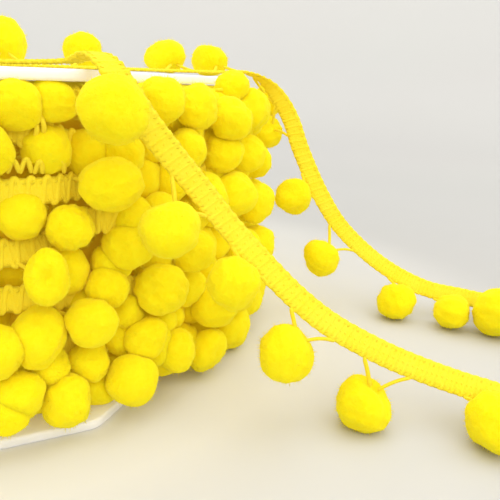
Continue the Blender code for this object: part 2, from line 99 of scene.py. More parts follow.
# Pompoms that stand out of the winding on its front: azimuth from +X, height, diameter and the
# distance of the middle from the axis.
FRONT = np.array([
    (-84.4, 56.6, 7.6, 69.2), (-79.7, 57.2, 6.8, 68.8), (-88.6, 50.3, 8.6, 71.0),
    (-74.1, 44.3, 10.0, 73.0), (-78.9, 37.4, 7.4, 70.0), (-84.6, 39.7, 7.8, 67.6),
    (-70.0, 48.4, 8.4, 67.6), (-68.4, 36.6, 8.4, 68.0), (-82.8, 30.1, 8.4, 73.0),
    (-77.1, 21.2, 8.8, 71.5), (-73.4, 25.5, 7.2, 69.5), (-69.4, 19.1, 7.4, 67.2),
    (-71.9, 28.8, 7.4, 67.0), (-65.2, 23.4, 10.2, 71.2), (-84.0, 19.1, 9.6, 70.0),
    (-86.9, 10.8, 9.0, 71.6), (-88.9, 18.4, 8.8, 71.4), (-88.8, 8.6, 8.0, 72.6),
    (-80.7, 7.8, 9.2, 71.4), (-71.3, 8.1, 9.7, 72.0), (-68.0, 14.8, 8.2, 71.0),
    (-63.6, 36.4, 9.4, 68.4), (-57.8, 29.1, 9.0, 71.0), (-70.1, 32.3, 8.6, 69.3),
    (-51.9, 15.3, 10.4, 71.0), (-44.0, 15.4, 10.2, 71.4), (-61.7, 9.8, 8.6, 70.5),
    (-53.7, 6.0, 9.2, 70.8), (-65.0, 11.5, 8.0, 68.5), (-42.0, 5.6, 9.4, 69.8),
    (-34.0, 33.5, 9.4, 72.6), (-31.6, 22.4, 9.8, 72.2), (-39.9, 24.0, 9.4, 70.8),
    (-45.7, 38.2, 10.0, 71.0), (-46.8, 46.6, 8.8, 69.7), (-58.7, 48.3, 8.0, 70.0),
    (-56.9, 56.4, 8.2, 71.0), (-47.6, 53.5, 9.6, 71.2), (-63.8, 57.4, 7.6, 70.5),
    (-39.0, 55.4, 9.0, 71.4), (-37.6, 46.0, 9.2, 70.6), (-52.0, 38.6, 9.2, 69.4),
    (-30.6, 54.6, 9.2, 70.4), (-28.4, 43.0, 9.4, 70.4), (-25.0, 33.0, 9.2, 70.2),
    (-22.0, 20.8, 9.4, 70.6), (-33.0, 9.0, 9.4, 70.4), (-22.6, 8.4, 9.4, 70.2),
    (-21.4, 52.8, 9.0, 68.8), (-18.4, 42.2, 9.0, 68.6), (-14.6, 31.2, 9.2, 69.4),
    (-12.2, 19.2, 9.4, 70.0), (-12.8, 7.8, 9.4, 70.2), (-12.0, 53.4, 9.0, 67.8),
    (-8.2, 42.8, 9.0, 68.0), (-41.3, 59.4, 7.4, 68.6), (-80.8, 50.3, 7.6, 67.5),
    (-82.6, 13.4, 7.6, 68.6), (-76.2, 12.0, 7.6, 68.0),
])
FRONT_FROM, FRONT_TO = -93.0, -5.0
END_ON, END_ON_SIZE = 8, (7.0, 9.6)  # row of the pompom whose tied middle faces out; its sizes
SIDE_AZIMUTH = -43.6           # that a long side of each flange faces
HIDDEN_ROWS, HIDDEN_COUNT = 5, 34
HIDDEN_SIZES, HIDDEN_RADII = (9.0, 10.4), (68.8, 72.0)
AZIMUTH_STRAY, HEIGHT_STRAY = 2.2, 1.8

# Heights of the outermost turns of braid, a row for each turn and a column for each azimuth.
TURN_AZIMUTHS = (-90, -84, -78, -75, -71, -68, -62, -52, -40, -25, -8, 30, 90, 150, 210)
TURN_HEIGHTS = np.array([
    (7.6, 7.2, 7.0, 7.2, 7.4, 7.2, 7.2, 7.6, 7.0, 6.8, 7.4, 7.0, 7.6, 7.0, 7.4),
    (15.8, 15.2, 14.6, 14.2, 13.6, 14.2, 15.0, 15.8, 15.0, 14.6, 15.4, 15.0, 15.8, 15.2, 16.0),
    (25.6, 25.4, 24.2, 23.6, 23.0, 23.4, 24.4, 24.8, 24.2, 24.0, 24.6, 24.0, 24.6, 24.2, 25.0),
    (33.2, 33.2, 34.6, 38.6, 37.0, 34.6, 33.0, 32.6, 33.4, 32.6, 33.2, 33.0, 32.6, 33.4, 33.0),
    (43.5, 43.5, 43.4, 43.4, 43.0, 42.4, 41.6, 42.2, 41.8, 42.4, 41.8, 42.2, 41.6, 42.4, 42.8),
    (52.8, 53.0, 50.8, 49.6, 49.8, 50.2, 50.8, 50.6, 50.2, 50.4, 50.6, 50.2, 50.8, 50.4, 51.4),
    (57.3, 57.3, 57.1, 57.0, 56.9, 57.0, 57.1, 56.7, 56.9, 56.7, 56.9, 56.7, 56.9, 56.7, 57.0),
])
# Where a turn of braid stands out between the pompoms: turn, azimuth, rise and half width.
PROUD_TURNS = ((4, -84.5, 2.9, 6.5), (3, -85.5, 1.6, 4.0), (2, -85.5, 1.6, 4.0),
               (3, -71.5, 2.0, 3.5), (5, -81.5, 1.8, 3.5))
# Stretches of the winding's front where the layer below stays well back: azimuth from and to,
# height from and to.
OPEN_STRETCHES = ((-92, -77, 38.0, 48.5), (-92, -80, 21.0, 37.0), (-77, -67, 32.5, 41.0),
                  (-84.5, -75, 48.0, 56.0))

# Loops that stand up from the turns in front: azimuth and height of both feet and of the bow.
STANDING_LOOPS = np.array([
    (-86.0, 46.6, -84.7, 46.6, -85.4, 50.6),
    (-84.5, 46.5, -83.2, 46.5, -83.9, 51.0),
    (-82.8, 46.3, -81.8, 46.3, -82.3, 50.4),
    (-80.2, 46.6, -79.0, 46.2, -79.7, 50.0),
    (-82.9, 55.9, -82.5, 51.6, -82.2, 53.8),
    (-82.1, 55.9, -81.5, 51.9, -81.4, 54.2),
])
STANDING_RADII = (69.4, 69.4, 72.0)   # of the feet and of the bow
# Where the two yarns of a loose pompom leave the braid, as distances along it from the nearest
# point, and how far each yarn bows.
LOOP_FEET = ((-4.5, 0.3), (4.8, 1.2))
LOOSE_FOOT = 2.2               # from the middle of the loose braid to a loop's foot
LOOSE_LEAN = 0.7               # of a yarn's end from the pompom's tie towards its own foot
LOOSE_ROOT, WOUND_ROOT = 0.40, 0.3    # from a pompom's middle to a yarn's end, against its width
LOOP_WIDE, LOOP_THIN = 0.43, 0.36     # half the two widths of a loop's yarn

# Wound trim
WOUND_FOOT, WOUND_HEIGHT = 2.15, 57.8
CORE_RADIUS, CORE_FOOT, CORE_TOP = 61.6, 2.2, 59.9
FOOT_RADIUS = 66.6             # of the feet of the wound loops
WOUND_FEET = (-3.1, 3.4)       # azimuths of a wound loop's feet from its pompom
WOUND_BOW = 1.4                # of a wound loop outwards
TURN_RADIUS = 66.3             # of the outermost turns of braid
# Detail of those turns in front and behind: step and sides of the ground, steps and sides of the
# weft, rows and hands of the chains, and their steps.
FINE_KNIT = (0.8, 8, (18, 6), ((-1.5, 1), (1.5, -1)), 6)
COARSE_KNIT = (1.6, 6, (8, 3), ((0.0, 1),), 4)
PROUD, CLOSE_GROWTH = 70.5, 1.05      # pompoms in front that lie closer in are this much larger
BELOW_STEP, BELOW_ROWS, BELOW_RISE = 7.6, 8, 7.1   # grid of the pompoms of the layer below
BELOW_APART = 4.6              # least distance of their middles from an outer pompom's
SET_BACK = 61.0                # radius of those of them behind the braid that shows
FIBRE_REACH, FIBRE_RADIUS = 1.0, 0.05

CREVICE_SHADE_COLOUR = (0.985, 0.68, 0.008)   # painted shade: the colour of yarn deep in the winding's crevices, lit only through other yarn
YARN_PAINTED_GLOW = 0.04            # strength of a painted glow of the yarn, which lifts its shade in the gaps of the pile
PLATE_PAINTED_GLOW = 0.1            # strength of a painted glow of the plates, which lifts their shade
SHADE_ATTRIBUTE = "crevice_shade"              # point attribute of the painted crevice shade: 1 deep in the winding, 0 at its face
CORE_SHADE_RADII = (64.0, 66.5)     # radii of full and of no painted amber shade on the inner layers
POMPOM_SHADE_RADII = (62.0, 70.0)   # and on the pompoms
LIT_FROM_ABOVE = (55.0, 58.5)  # heights between which the painted amber shade fades out

# Painted light on the floor, brightest round the reel, darkest a little way off and brighter again
# far off: its tone against its distance from the axis in metres, the two ends of the ramp first
FLOOR_PAINTED_LIGHT = ((0.0, 1.3), (1.2, 1.03), (0.085, 1.20), (0.10, 1.05), (0.12, 0.99), (0.16, 0.83),
               (0.26, 0.85), (0.44, 0.89), (0.85, 0.97))
RAMP_REACH = 2.0               # distance at the ramp's far end in metres

# Camera
EYE = np.array((0.0, -167.0, 60.7)) * MM
YAW, PITCH, ROLL = np.radians((25.1, 15.5, 1.7))
LENS, SENSOR = 43.2, 36.0


# ---------------- arrays


def unit(vectors):
    """Each vector over its own length."""
    return vectors / np.maximum(np.linalg.norm(vectors, axis=-1, keepdims=True), 1e-12)


def smooth_rows(rows, t):
    """Catmull-Rom value of a table at t, whole numbers being its rows: half of
    2b + (c - a)u + (2a - 5b + 4c - d)u^2 + (3b - a - 3c + d)u^3."""
    last = len(rows) - 1
    k = np.clip(t.astype(int), 0, last - 1)
    u = (t - k)[:, None]
    a, b, c, d = (rows[np.clip(k + j, 0, last)] for j in (-1, 0, 1, 2))
    return 0.5 * (
        2 * b + (c - a) * u + (2 * a - 5 * b + 4 * c - d) * u**2 + (3 * b - a - 3 * c + d) * u**3
    )


def polar(azimuth, radius, height):
    """Points (r cos a, r sin a, z)."""
    a = np.radians(azimuth)
    return np.stack(np.broadcast_arrays(radius * np.cos(a), radius * np.sin(a), height), axis=-1)


class Track:
    """A path with a side direction, read at any distance along it.

    Distances are summed chords. A read gives the place, the direction along, the side squared to
    it and the face, which is along x side."""

    def __init__(self, places, sides):
        self.places = places
        self.sides = sides
        steps = np.linalg.norm(np.diff(places, axis=0), axis=1)
        self.at = np.concatenate([[0.0], np.cumsum(steps)])
        self.length = self.at[-1]

    def blend(self, table, s):
        return np.stack([np.interp(s, self.at, column) for column in table.T], axis=-1)

    def read(self, s):
        reach = 0.4
        place = self.blend(self.places, s)
        ahead = self.blend(self.places, np.minimum(s + reach, self.length))
        behind = self.blend(self.places, np.maximum(s - reach, 0.0))
        along = unit(ahead - behind)
        side = self.blend(self.sides, s)
        side = unit(side - along * np.sum(side * along, axis=-1, keepdims=True))
        return place, along, side, np.cross(along, side)


def tail_track(first, last):
    """The loose route between two of its stations, from first to last."""
    t = np.linspace(first, last, 24 * abs(last - first) + 1)
    places = smooth_rows(ROUTE[:, :3], t)
    out, dip = np.radians(ROUTE[:, 3]), np.radians(ROUTE[:, 4])
    sides = np.stack(
        [np.cos(dip) * np.cos(out), np.cos(dip) * np.sin(out), -np.sin(dip)], axis=-1
    )
    return Track(places, smooth_rows(sides, t))


# ---------------- meshes


def new_piece(name, verts, faces, look):
    """A mesh object at the origin from points in millimetres and rows of corner numbers.
    Rows may be of three or four corners, given as one array or a list of arrays."""
    if not isinstance(faces, list):
        faces = [faces]
    mesh = bpy.data.meshes.new(name)
    mesh.vertices.add(len(verts))
    mesh.vertices.foreach_set("co", (np.asarray(verts) * MM).astype(np.float32).ravel())
    corners = np.concatenate([f.ravel() for f in faces])
    sizes = np.concatenate([np.full(len(f), f.shape[1]) for f in faces])
    mesh.loops.add(len(corners))
    mesh.loops.foreach_set("vertex_index", corners.astype(np.int32))
    mesh.polygons.add(len(sizes))
    starts = np.concatenate([[0], np.cumsum(sizes)[:-1]])
    mesh.polygons.foreach_set("loop_start", starts.astype(np.int32))
    mesh.update(calc_edges=True)
    mesh.validate()
    mesh.polygons.foreach_set("use_smooth", np.full(len(mesh.polygons), True))
    mesh.materials.append(look)
    made = bpy.data.objects.new(name, mesh)
    bpy.context.scene.collection.objects.link(made)
    return made


def paint_crevice_shade(piece, full, none):
    """Writes how far each point lies inside the winding, 1 at radius full and 0 from none out,
    to the attribute that the yarn looks turn to a painted amber shade, the shade of the
    winding's crevices. Light from above reaches the top rows, so the painted shade fades there."""
    points = np.empty(3 * len(piece.data.vertices), np.float32)
    piece.data.vertices.foreach_get("co", points)
    points = points.reshape(-1, 3) / MM
    depth = (none - np.linalg.norm(points[:, :2], axis=1)) / (none - full)
    shaded = (LIT_FROM_ABOVE[1] - points[:, 2]) / (LIT_FROM_ABOVE[1] - LIT_FROM_ABOVE[0])
    crevice_shade = piece.data.attributes.new(SHADE_ATTRIBUTE, "FLOAT", "POINT")
    crevice_shade.data.foreach_set(
        "value", (np.clip(depth, 0, 1) * np.clip(shaded, 0, 1)).astype(np.float32)
    )


def grid_faces(rows, columns, wrap_rows=False, wrap_columns=False):
    """Corner numbers of the quads of a grid whose point (i, j) has number i * columns + j."""
    i = np.arange(rows if wrap_rows else rows - 1)[:, None]
    j = np.arange(columns if wrap_columns else columns - 1)[None, :]
    up, over = (i + 1) % rows, (j + 1) % columns
    quads = [i * columns + j, i * columns + over, up * columns + over, up * columns + j]
    return np.stack(np.broadcast_arrays(*quads), axis=-1).reshape(-1, 4)


def yarns(lines, wide, thin, normals, sides):
    """Closed yarns along many lines at once: lines is (count, steps, 3). The section is an oval,
    wide across and thin along the normal, and each end closes on one point just past it."""
    count, steps, _ = lines.shape
    along = unit(np.gradient(lines, axis=1))
    up = unit(normals - along * np.sum(normals * along, axis=-1, keepdims=True))
    across = np.cross(along, up)
    turn = 2 * np.pi * np.arange(sides) / sides
    taper = np.ones(steps)
    taper[[0, -1]] = 0.72
    rim = (
        across[:, :, None] * (wide * np.cos(turn))[None, None, :, None]
        + up[:, :, None] * (thin * np.sin(turn))[None, None, :, None]
    ) * taper[None, :, None, None]
    body = (lines[:, :, None] + rim).reshape(count, steps * sides, 3)
    tips = np.stack([
        lines[:, 0] - along[:, 0] * thin * 0.5, lines[:, -1] + along[:, -1] * thin * 0.5
    ], axis=1)
    verts = np.concatenate([body, tips], axis=1)
    quads = grid_faces(steps, sides, wrap_columns=True)[:, ::-1]
    k = np.arange(sides)
    after = (k + 1) % sides
    head = np.stack([k, after, np.full(sides, steps * sides)], axis=-1)
    foot = (steps - 1) * sides
    tail = np.stack([foot + after, foot + k, np.full(sides, steps * sides + 1)], axis=-1)
    shift = (np.arange(count) * (steps * sides + 2))[:, None, None]
    return (
        verts.reshape(-1, 3),
        [(quads[None] + shift).reshape(-1, 4),
         (np.concatenate([head, tail])[None] + shift).reshape(-1, 3)],
    )


def joined(parts):
    """Several (verts, face arrays) as one."""
    verts, quads, tris, base = [], [], [], 0
    for points, faces in parts:
        verts.append(points)
        for f in faces:
            (quads if f.shape[1] == 4 else tris).append(f + base)
        base += len(points)
    faces = [np.concatenate(group) for group in (quads, tris) if group]
    return np.concatenate(verts), faces


def ball_grid(n):
    """A sphere as six n x n patches of a cube blown round: directions tan(pi/4 * u), welded."""
    u = np.tan(np.pi / 4 * np.linspace(-1, 1, n + 1))
    a, b = (g.ravel() for g in np.meshgrid(u, u, indexing="ij"))
    one = np.ones_like(a)
    patches = [
        np.stack(p, axis=-1) for p in (
            (one, a, b), (-one, b, a), (b, one, a), (a, -one, b), (a, b, one), (b, a, -one)
        )
    ]
    points = unit(np.concatenate(patches))
    faces = np.concatenate([
        grid_faces(n + 1, n + 1) + k * (n + 1) ** 2 for k in range(6)
    ])
    _, first, same = np.unique(
        np.round(points, 6), axis=0, return_index=True, return_inverse=True
    )
    points, faces = points[first], same.ravel()[faces]
    middle = points[faces].mean(axis=1)
    a, b, c = (points[faces[:, k]] for k in range(3))
    inward = np.sum(np.cross(b - a, c - a) * middle, axis=-1) < 0
    faces[inward] = faces[inward][:, ::-1]
    return points, faces


def neighbours(balls, crowd, count=7):
    """Directions to the nearest pompoms and, in own radii, the distance to the plane that shares
    the room between the two by their sizes."""
    apart = crowd[None, :, :3] - balls[:, None, :3]
    gap = np.linalg.norm(apart, axis=-1)
    gap[gap < 0.5] = 1e6
    order = np.argsort(gap, axis=1)[:, :count]
    gap = np.take_along_axis(gap, order, 1)
    towards = np.take_along_axis(apart, order[..., None], 1) / gap[..., None]
    level = gap / (balls[:, None, 3] + crowd[order, 3]) * 2
    return towards, np.maximum(level, 0.66)[..., None]


def pile_shapes(rng, balls, pulls, depths, crowd):
    """What makes each clipped pompom different: slow waves, shear flats, the flats where its
    neighbours press, fine tufts, and the dimple where its yarn pulls in."""
    count = len(balls)
    pressed, level = neighbours(balls, crowd)
    return {
        "middle": balls[:, None, :3], "size": balls[:, None, (3, 3, 4)] / 2,
        "waves": unit(rng.normal(size=(count, 5, 3))) * rng.uniform(1.8, 4.2, (count, 5, 1)),
        "phase": rng.uniform(0, 2 * np.pi, (count, 5, 1)),
        "swing": rng.uniform(0.02, 0.06, (count, 5, 1)),
        "flats": np.concatenate([unit(rng.normal(size=(count, 3, 3))), pressed], axis=1),
        "level": np.concatenate([rng.uniform(0.95, 1.08, (count, 3, 1)), level * 1.12], axis=1),
        "tufts": unit(rng.normal(size=(count, 5, 3))) * rng.uniform(5.0, 16.0, (count, 5, 1)),
        "shift": rng.uniform(0, 2 * np.pi, (count, 5, 1)),
        "pulls": unit(pulls), "depths": np.asarray(depths, float)[:, None],
    }


def pile_places(shape, d):
    """Points of the pompoms in the directions d, (count, n, 3). The radius is 1 plus the waves
    swing * cos(w . d + p), cut softly by each flat level / (f . d), plus the tufts, less the
    dimple depth * exp(-(angle / 0.5)^2)."""
    waves = np.einsum("ckx,cvx->ckv", shape["waves"], d)
    radius = 1.0 + np.sum(shape["swing"] * np.cos(waves + shape["phase"]), axis=1)
    sharp = 9.0
    cut = shape["level"] / np.maximum(np.einsum("ckx,cvx->ckv", shape["flats"], d), 0.05)
    radius = (radius**-sharp + np.sum(cut**-sharp, axis=1)) ** (-1 / sharp)
    radius += 0.013 * np.sum(
        np.cos(np.einsum("ckx,cvx->ckv", shape["tufts"], d) + shape["shift"]), axis=1
    )
    near = np.clip(np.einsum("cx,cvx->cv", shape["pulls"], d), -1, 1)
    radius -= shape["depths"] * np.exp(-((np.arccos(near) / 0.5) ** 2))
    return shape["middle"] + radius[:, :, None] * d * shape["size"]


def pompoms(shape, n):
    """The pompoms' bodies, each on a blown cube of n x n patches."""
    d, faces = ball_grid(n)
    count = len(shape["middle"])
    verts = pile_places(shape, np.broadcast_to(d, (count, *d.shape)))
    return (
        verts.reshape(-1, 3),
        [(faces[None] + (np.arange(count) * len(d))[:, None, None]).reshape(-1, 4)],
    )


def fuzz(rng, shape, per):
    """Loose fibres, so many to each pompom: spikes of three sides that start under the pile and
    lean any way."""
    count = len(shape["middle"])
    d = unit(rng.normal(size=(count, per, 3)))
    root = pile_places(shape, d)
    lean = unit(d + 0.45 * rng.normal(size=d.shape))
    tip = root + lean * rng.uniform(0.3, 1.0, (count, per, 1)) * FIBRE_REACH
    root = root - d * 0.25
    across = unit(np.cross(lean, unit(rng.normal(size=d.shape))))
    other = np.cross(lean, across)
    corners = [
        root + FIBRE_RADIUS * (np.cos(a) * across + np.sin(a) * other)
        for a in 2 * np.pi * np.arange(3) / 3
    ]
    verts = np.stack([*corners, tip], axis=2).reshape(-1, 3)
    one = np.array([(0, 1, 3), (1, 2, 3), (2, 0, 3), (0, 2, 1)])
    return verts, [(one[None] + 4 * np.arange(count * per)[:, None, None]).reshape(-1, 3)]


# ---------------- braid


def weft(track, start, end, half_width, pitch, steps, sides, wide, thin, square=0.0):
    """The weft yarn: across = half width * w, where w goes from a zigzag with rounded turns,
    asin(0.97 sin p) / asin(0.97), to straight ribs with short turns, tanh(3 sin p) / tanh(3)."""
    cycles = max(int(round((end - start) / pitch)), 1)
    s = np.linspace(start, end, cycles * steps + 1)
    phase = 2 * np.pi * cycles * (s - start) / (end - start)
    zigzag = np.arcsin(0.97 * np.sin(phase)) / np.arcsin(0.97)
    ribs = np.tanh(3 * np.sin(phase)) / np.tanh(3)
    across = half_width * ((1 - square) * zigzag + square * ribs)
    place, _, side, face = track.read(s)
    line = place + side * across[:, None] + face * (0.08 * np.cos(phase))[:, None]
    return yarns(line[None], wide, thin, face[None], sides)


def chain(track, start, end, row, hand, pitch, steps, sides, radius, depth):
    """One chain yarn: a flat coil round the weft, across = row + 0.3 sin, height = depth * cos."""
    cycles = max(int(round((end - start) / pitch)), 1)
    s = np.linspace(start, end, cycles * steps + 1)
    phase = 2 * np.pi * cycles * (s - start) / (end - start)
    place, _, side, face = track.read(s)
    across = row + 0.30 * hand * np.sin(phase)
    line = place + side * across[:, None] + face * (depth * np.cos(phase))[:, None]
    return yarns(line[None], radius, radius, side[None], sides)


def ground(track, start, end, half_width, step, sides, thin):
    """The knitted ground that the weft lies in: one flat band of oval section."""
    s = np.linspace(start, end, max(int((end - start) / step), 2) + 1)
    place, _, _, face = track.read(s)
    return yarns(place[None], half_width, thin, face[None], sides)


def loops(flat, feet, ends, bows):
    """Yarn loops from feet on the braid's edge to ends in a pompom, given as lists of arrays:
    parabolas a (1 - t)^2 + 2 c t (1 - t) + b t^2, drawn towards their bow c."""
    t = np.linspace(0, 1, 9)[None, :, None]
    a, b, c = (np.concatenate(group)[:, None] for group in (feet, ends, bows))
    lines = a * (1 - t) ** 2 + 2 * c * t * (1 - t) + b * t**2
    return yarns(lines, LOOP_WIDE, LOOP_THIN, np.broadcast_to(flat, lines.shape), 5)


# ---------------- materials


def fill(made, values):
    """Sets the inputs of a node."""
    for key, value in values.items():
        made.inputs[key].default_value = value


def node(tree, kind, inputs=None, **settings):
    """A node with its settings and the values of its inputs."""
    made = tree.nodes.new(kind)
    for key, value in settings.items():
        setattr(made, key, value)
    fill(made, inputs or {})
    return made


def wire(tree, *rows):
    """Links, each from a node's output to a node's input."""
    for source, out, target, into in rows:
        tree.links.new(source.outputs[out], target.inputs[into])


def new_look(name):
    """A fresh material, its node tree, its shader and the node that gives the place."""
    look = bpy.data.materials.new(name)
    look.use_nodes = True
    tree = look.node_tree
    return look, tree, tree.nodes["Principled BSDF"], node(tree, "ShaderNodeTexCoord")


def ramp_through(tree, stops, interpolation="LINEAR"):
    """A colour ramp through pairs of position and colour, its two ends first."""
    ramp = node(tree, "ShaderNodeValToRGB")
    ramp.color_ramp.interpolation = interpolation
    points = ramp.color_ramp.elements
    for k, (position, colour) in enumerate(stops):
        point = points[k] if k < 2 else points.new(position)
        point.position = position
        point.color = (*colour, 1)
    return ramp


def yarn_look(name, colour, pit_shade, grain, bump, depth):
    """Matt yarn: a mottle of two close colours, random and with a painted shade in its fine pits,
    a painted amber shade deep in the winding, a faint painted glow, a soft sheen and, for pile,
    some light carried through under its surface."""
    look, tree, shader, where = new_look(name)
    mottle = node(tree, "ShaderNodeTexNoise", {"Scale": 210.0, "Detail": 3.0})
    fine = node(tree, "ShaderNodeTexNoise", {"Scale": grain, "Detail": 4.0, "Roughness": 0.62})
    both = node(tree, "ShaderNodeMath", {1: 0.55}, operation="MULTIPLY_ADD")
    # darker where the fine noise, which also sinks the bump, is low: a painted shade in the pits,
    # mixed with a random mottle
    ramp = ramp_through(tree, ((0.50, pit_shade), (0.92, colour)))
    # painted amber shade deep in the winding's crevices, read from the point attribute
    crevice_shade = node(tree, "ShaderNodeAttribute", attribute_name=SHADE_ATTRIBUTE)
    amber_shade_mix = node(tree, "ShaderNodeMix", {"B": (*CREVICE_SHADE_COLOUR, 1)}, data_type="RGBA", blend_type="MIX")
    raised = node(tree, "ShaderNodeBump", {"Strength": bump, "Distance": 0.0003})
    wire(
        tree, (where, "Object", mottle, "Vector"), (where, "Object", fine, "Vector"),
        (mottle, "Fac", both, 0), (fine, "Fac", both, 2), (both, 0, ramp, "Fac"),
        (crevice_shade, "Fac", amber_shade_mix, "Factor"), (ramp, "Color", amber_shade_mix, "A"),
        (amber_shade_mix, "Result", shader, "Base Color"),
        (fine, "Fac", raised, "Height"), (raised, "Normal", shader, "Normal"),
    )
    fill(shader, {
        "Roughness": 0.9, "Specular IOR Level": 0.06,
        # a faint painted glow of the yarn's own colour lifts its shade in the gaps
        "Emission Color": (*colour, 1), "Emission Strength": YARN_PAINTED_GLOW,
        "Subsurface Weight": depth, "Subsurface Radius": (1.0, 0.8, 0.08),
        "Subsurface Scale": 0.0018,
        "Sheen Weight": 0.1, "Sheen Roughness": 0.45, "Sheen Tint": (1.0, 0.93, 0.45, 1),
    })
    return look


def plastic_look(name, colour, shade, roughness):
    """Moulded white plastic with faint clouding, a very fine orange-peel and a faint painted glow
    that lifts its shade.
    """
    look, tree, shader, where = new_look(name)
    cloud = node(tree, "ShaderNodeTexNoise", {"Scale": 60.0, "Detail": 3.0})
    ramp = ramp_through(tree, ((0.3, shade), (0.7, colour)))
    rough = node(tree, "ShaderNodeMapRange", {
        "To Min": roughness - 0.06, "To Max": roughness + 0.08,
    })
    peel = node(tree, "ShaderNodeTexNoise", {"Scale": 1400.0})
    raised = node(tree, "ShaderNodeBump", {"Strength": 0.08, "Distance": 0.0001})
    wire(
        tree, (where, "Object", cloud, "Vector"), (where, "Object", peel, "Vector"),
        (cloud, "Fac", ramp, "Fac"), (ramp, "Color", shader, "Base Color"),
        (cloud, "Fac", rough, "Value"), (rough, "Result", shader, "Roughness"),
        (peel, "Fac", raised, "Height"), (raised, "Normal", shader, "Normal"),
    )
    fill(shader, {
        # a painted glow of the plastic's own colour lifts the plates' shade
        "Emission Color": (*colour, 1), "Emission Strength": PLATE_PAINTED_GLOW,
        "Subsurface Weight": 0.4, "Subsurface Radius": (1.0, 0.97, 0.9),
        "Subsurface Scale": 0.004,
    })
    return look


def floor_look(name, colour, light_tones):
    """Plain pale paper with a painted light whose tone eases with the distance from the reel, with
    a faint mottle.
    """
    look, tree, shader, where = new_look(name)
    far = node(tree, "ShaderNodeVectorMath", operation="LENGTH")
    scale = node(tree, "ShaderNodeMath", {1: RAMP_REACH}, operation="DIVIDE")
    # painted light: a ramp of tones by the distance from the reel
    ramp = ramp_through(
        tree, [(at / RAMP_REACH, [tone * c for c in colour]) for at, tone in light_tones], "EASE"
    )
    cloud = node(tree, "ShaderNodeTexNoise", {"Scale": 3.0})
    mix = node(
        tree, "ShaderNodeMix", {"Factor": 0.02}, data_type="RGBA", blend_type="MULTIPLY"
    )
    wire(
        tree, (where, "Object", far, 0), (where, "Object", cloud, "Vector"),
        (far, "Value", scale, 0), (scale, 0, ramp, "Fac"), (ramp, "Color", mix, "A"),
        (cloud, "Color", mix, "B"), (mix, "Result", shader, "Base Color"),
    )
    fill(shader, {"Roughness": 0.85, "Specular IOR Level": 0.1})
    return look


# ---------------- settings


def length_setting(name, about, value):
    return bpy.props.FloatProperty(
        name=name, description=about, default=value * MM, unit="LENGTH", precision=5
    )


def colour_setting(name, about, value):
    return bpy.props.FloatVectorProperty(
        name=name, description=about, default=value, size=3, subtype="COLOR", min=0, max=1
    )


class TrimReelSettings(bpy.types.PropertyGroup):
    side_reach: length_setting("Side reach", "From the axis to a flange's long sides", 60.0)
    corner_reach: length_setting("Corner reach", "From the axis to its cut corners", 70.0)
    flange_thickness: length_setting("Flange thickness", "Thickness of each flange", 1.85)
    height: length_setting("Height", "Height of the whole reel", 62.1)
    spindle_radius: length_setting("Spindle radius", "Radius of the hole in each flange", 10.0)
    rim_rounding: length_setting("Rim rounding", "Rounding of the flanges' edges", 0.5)
    bore: length_setting("Winding bore", "Inner radius of the wound trim", 26.3)
    white: colour_setting("White", "Colour of the moulded plastic", (0.93, 0.915, 0.895))


class TrimBraidSettings(bpy.types.PropertyGroup):
    width: length_setting("Width", "Width of the braid over its loops", 5.2)
    pitch: length_setting("Pitch", "Length of one full stitch of the loose braid", 2.0)
    rib_pitch: length_setting("Rib pitch", "Length of one full stitch of the wound braid", 2.5)
    chain_yarn: length_setting("Chain yarn", "Thickness of the chain stitches", 0.38)
    colour: colour_setting("Yarn colour", "Colour of the braid yarn", (0.97, 0.805, 0.045))
    # the second colour is partly a painted shade in the yarn's fine pits and partly random mottle
    pit_shade: colour_setting("Yarn shade", "Colour in the yarn's pits", (0.96, 0.75, 0.02))


class TrimPompomSettings(bpy.types.PropertyGroup):
    seed: bpy.props.IntProperty(name="Seed", description="Which of the many windings", default=7)
    colour: colour_setting("Pile colour", "Colour of the pompoms", (0.998, 0.83, 0.012))
    # the second colour is partly a painted shade between the pile's tufts and partly random mottle
    pit_shade: colour_setting("Pile shade", "Colour between the pile's tufts", (0.992, 0.785, 0.005))


class TrimStageSettings(bpy.types.PropertyGroup):
    floor: colour_setting("Floor", "Colour of the floor", (0.625, 0.62, 0.605))
    sky: bpy.props.FloatProperty(name="Sky", description="Strength of the soft light", default=1.5)
    key: bpy.props.FloatProperty(name="Key", description="Power of the lights", default=2.4)


# ---------------- pieces


def settle(piece, slot, *nodes):
    """Ride on the reel and stand for the CAD nodes named, which are hidden. The slot is not used.
    """
    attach(piece, BODY)
    if nodes:
        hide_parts(*nodes)


def looks():
    """The yarn and pile materials, made once."""
    braid = bpy.context.scene.trim_braid
    pile = bpy.context.scene.trim_pompoms
    made = {}
    for name, colour, pit_shade, grain, bump, depth in (
        ("lemon_pile", pile.colour, pile.pit_shade, 1100.0, 1.0, 0.45),
        ("lemon_yarn", braid.colour, braid.pit_shade, 3000.0, 0.4, 0.0),
    ):
        made[name] = bpy.data.materials.get(name) or yarn_look(
            name, tuple(colour), tuple(pit_shade), grain, bump, depth
        )
    return made["lemon_pile"], made["lemon_yarn"]


def facing(right, up, back, place):
    """The matrix of an object at a place whose X, Y and Z axes point right, up and back."""
    pose = np.eye(4)
    pose[:3] = np.column_stack([right, up, back, place])
    return Matrix(pose.tolist())


